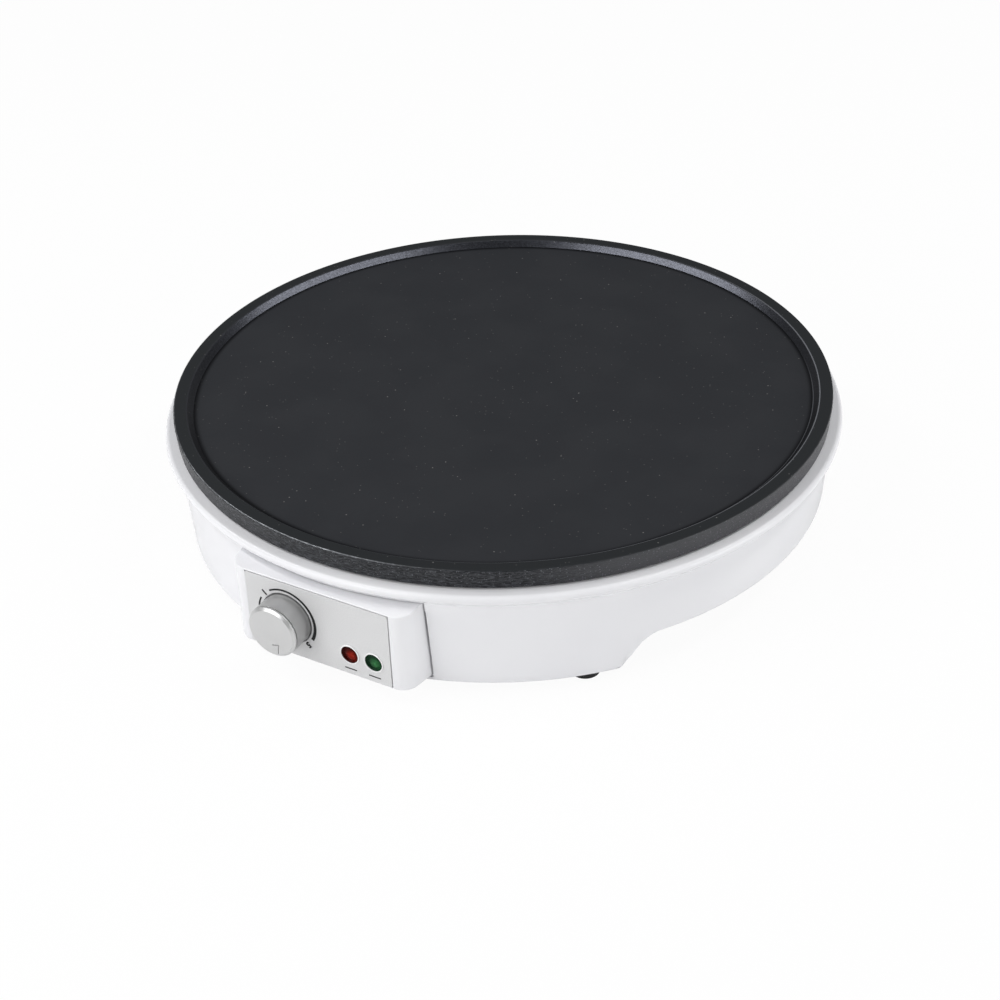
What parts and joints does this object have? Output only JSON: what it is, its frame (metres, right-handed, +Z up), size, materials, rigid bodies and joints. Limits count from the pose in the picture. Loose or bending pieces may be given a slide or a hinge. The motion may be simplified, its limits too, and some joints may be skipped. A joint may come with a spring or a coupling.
{
  "type": "electric crepe maker",
  "caption": "Round electric crepe maker: a rimmed non-stick hotplate on a low white body with side hand grips, a thermostat knob and pilot lamps.",
  "frame": {"origin": "on the plate's axis, in the plane that the four feet stand on", "axes": "+Z up along the plate's axis, -Y towards the control panel, +X to the right when facing the panel"},
  "size_m": [0.309, 0.3218, 0.0635],
  "materials": {
    "nonstick_plate": "satin",
    "element_tube": "satin",
    "nickel_steel": "satin",
    "white_ceramic": "matte",
    "shield_aluminium": "satin",
    "white_body": "gloss",
    "cover_plastic": "matte",
    "zinc_steel": "satin",
    "black_rubber": "matte",
    "silver_panel": "satin",
    "dark_print": "matte",
    "silver_knob": "satin",
    "spring_steel": "satin",
    "brass_parts": "satin",
    "bronze_leaf": "satin",
    "bimetal": "satin",
    "silver_contact": "satin",
    "bright_bezel": "gloss",
    "red_lens": "gloss",
    "green_lens": "gloss",
    "holder_plastic": "satin",
    "clear_glass": "gloss",
    "black_gland": "matte",
    "brown_wire": "satin",
    "black_wire": "satin",
    "white_wire": "satin",
    "blue_wire": "satin",
    "green_wire": "satin",
    "red_wire": "satin"
  },
  "bodies": {
    "appliance": {"cooking_plate": "nonstick_plate", "heating_element": "element_tube", "element_terminals": "nickel_steel", "element_bushes": "white_ceramic", "heat_shield": "shield_aluminium", "base_shell": "white_body", "bottom_cover": "cover_plastic", "plate_screws": "zinc_steel", "cover_screws": "zinc_steel", "rubber_feet": "black_rubber", "control_housing": "white_body", "housing_screws": "zinc_steel", "control_panel": "silver_panel", "heat_scale": "dark_print", "thermostat_bush": "brass_parts", "thermostat_bracket": "zinc_steel", "thermostat_insulators": "white_ceramic", "thermostat_rivet": "zinc_steel", "moving_blade": "bronze_leaf", "fixed_blade": "bronze_leaf", "bimetal_blade": "bimetal", "switch_contacts": "silver_contact", "bracket_screw": "zinc_steel", "lamp_bezels": "bright_bezel", "red_lamp_lens": "red_lens", "green_lamp_lens": "green_lens", "lamp_holders": "holder_plastic", "neon_bulbs": "clear_glass", "cord_gland": "black_gland", "cord_clamp": "holder_plastic", "clamp_screws": "zinc_steel", "terminal_block": "holder_plastic", "terminal_inserts": "brass_parts", "terminal_screws": "zinc_steel", "thermal_fuse": "white_ceramic", "fuse_clamp": "zinc_steel", "fuse_screw": "zinc_steel", "earth_screw": "brass_parts", "spade_connectors": "nickel_steel", "live_wire": "brown_wire", "switched_wire": "black_wire", "fused_wire": "white_wire", "neutral_wire": "blue_wire", "earth_wire": "green_wire", "lamp_leads": "red_wire"},
    "knob_assembly": {"knob": "silver_knob", "knob_spring": "spring_steel", "thermostat_spindle": "brass_parts", "spindle_clip": "spring_steel"},
    "pin": {"thermostat_pin": "white_ceramic"}
  },
  "joints": [
    {"name": "knob_turn", "type": "hinge", "parent": "appliance", "child": "knob_assembly", "pos_m": [-0.0154, -0.1554, 0.02583], "axis": [0, 1, 0], "range_deg": [0, 330]},
    {"name": "pin_push", "type": "slide", "parent": "appliance", "child": "pin", "axis": [0, 1, 0], "range_m": [0, 0.0006]}
  ],
  "couplings": [
    {"joint": "pin_push", "follows": "knob_turn", "m_per_rad": 0.000104}
  ]
}
